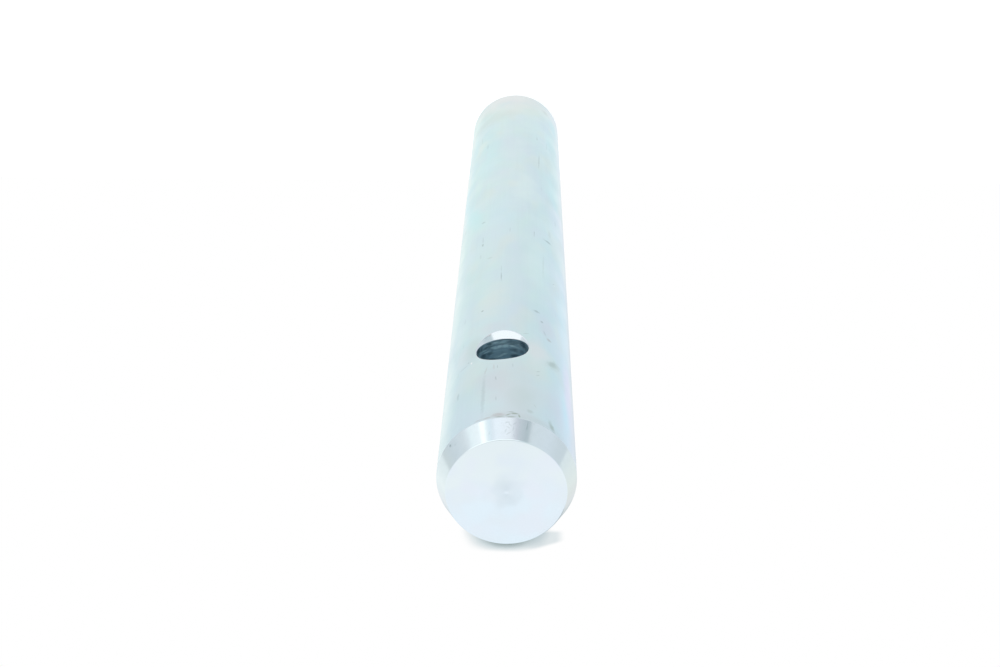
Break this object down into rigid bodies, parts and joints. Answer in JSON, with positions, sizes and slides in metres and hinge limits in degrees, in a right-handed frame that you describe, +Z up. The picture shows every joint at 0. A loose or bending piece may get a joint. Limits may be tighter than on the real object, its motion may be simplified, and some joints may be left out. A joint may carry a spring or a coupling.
{
  "type": "pivot pin",
  "caption": "Plain round steel pivot pin with lead-in chamfers on its ends and a countersunk cross hole near its top end for a retaining bolt.",
  "frame": {"origin": "centre of the plain end face that the pin stands on, at the end away from the cross hole", "axes": "+Z up the pin's axis, to the end with the cross hole; the cross hole lies along Y; X completes the frame"},
  "size_m": [0.03, 0.03, 0.245],
  "materials": {
    "zinc_plated_steel": "clear bluish zinc plate on drawn bar: satin shank, brighter turned ends"
  },
  "bodies": {
    "root": {"pivot_pin": "zinc_plated_steel"}
  },
  "joints": []
}
